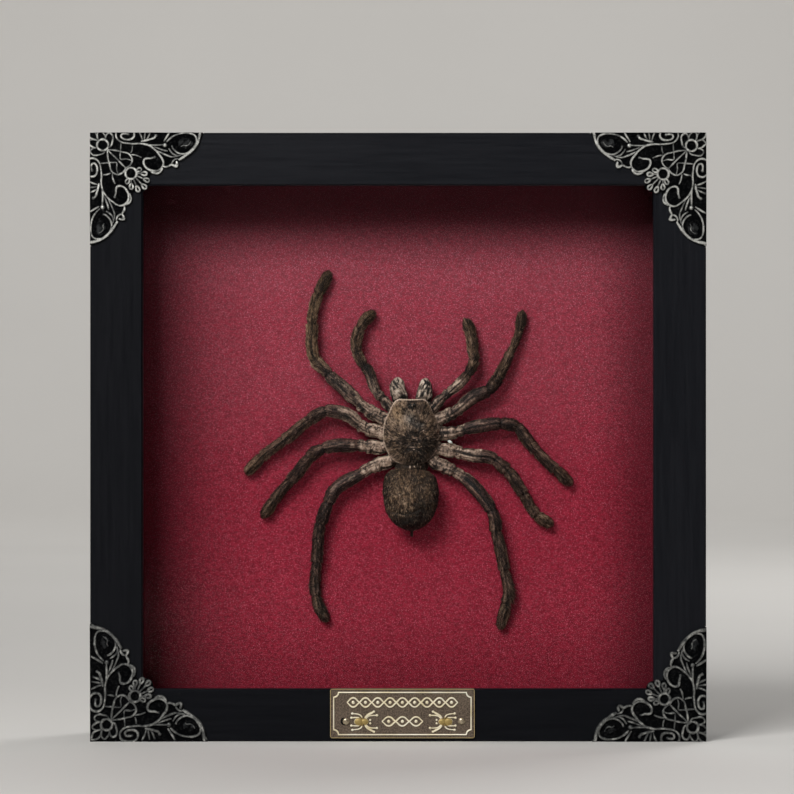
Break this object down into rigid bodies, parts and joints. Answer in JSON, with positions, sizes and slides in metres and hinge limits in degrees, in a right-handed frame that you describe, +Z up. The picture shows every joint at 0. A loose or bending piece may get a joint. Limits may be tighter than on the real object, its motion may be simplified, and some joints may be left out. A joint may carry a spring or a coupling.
{
  "type": "framed tarantula specimen",
  "caption": "Dried tarantula laid out on crimson paper inside a black shadow-box frame with a glass front, stamped metal corners and a brass plate.",
  "frame": {"origin": "middle of the box's underside, below the centre of its depth", "axes": "+Z up the frame towards the spider's head, +X to the right seen from the glass, -Y out through the glass"},
  "size_m": [0.2032, 0.0376, 0.2008],
  "materials": {
    "black_wood": "satin charcoal-black paint with a fine brushed grain",
    "clear_glass": "clear flat glass",
    "crimson_board": "board covered with fine-grained crimson paper",
    "fibreboard": "raw brown fibreboard",
    "bright_steel": "zinc-plated steel",
    "antique_silver": "stamped metal, black in the hollows and worn silver on the raised lines",
    "dark_brass": "dark brown patina with rubbed gold relief",
    "nail_brass": "polished brass nail",
    "dark_chitin": "dried cuticle with short olive-brown hairs, pale tan near the body",
    "pale_chitin": "dried grey-beige cuticle with dark streaks and fine hairs",
    "brown_hair": "mottled golden-brown short hair",
    "dried_glue": "whitish dried glue"
  },
  "bodies": {
    "root": {"rail_bottom": "black_wood", "rail_left": "black_wood", "rail_top": "black_wood", "rail_right": "black_wood", "glass": "clear_glass", "mount_board": "crimson_board", "liner_bottom": "crimson_board", "liner_top": "crimson_board", "liner_left": "crimson_board", "liner_right": "crimson_board", "back_board": "fibreboard", "point_bottom_start": "bright_steel", "point_bottom_end": "bright_steel", "point_left_start": "bright_steel", "point_left_end": "bright_steel", "point_top_start": "bright_steel", "point_top_end": "bright_steel", "point_right_start": "bright_steel", "point_right_end": "bright_steel", "hanger": "bright_steel", "hanger_nail_left": "bright_steel", "hanger_nail_right": "bright_steel", "corner_bottom_left": "antique_silver", "corner_top_left": "antique_silver", "corner_top_right": "antique_silver", "corner_bottom_right": "antique_silver", "name_plate": "dark_brass", "plate_nail_left": "nail_brass", "plate_nail_right": "nail_brass", "carapace": "pale_chitin", "abdomen": "brown_hair", "chelicera_left": "pale_chitin", "chelicera_right": "pale_chitin", "palp_left": "dark_chitin", "palp_right": "dark_chitin", "leg_left_1": "dark_chitin", "leg_left_2": "dark_chitin", "leg_left_3": "dark_chitin", "leg_left_4": "dark_chitin", "leg_right_1": "dark_chitin", "leg_right_2": "dark_chitin", "leg_right_3": "dark_chitin", "leg_right_4": "dark_chitin", "glue_bead": "dried_glue"}
  },
  "joints": []
}
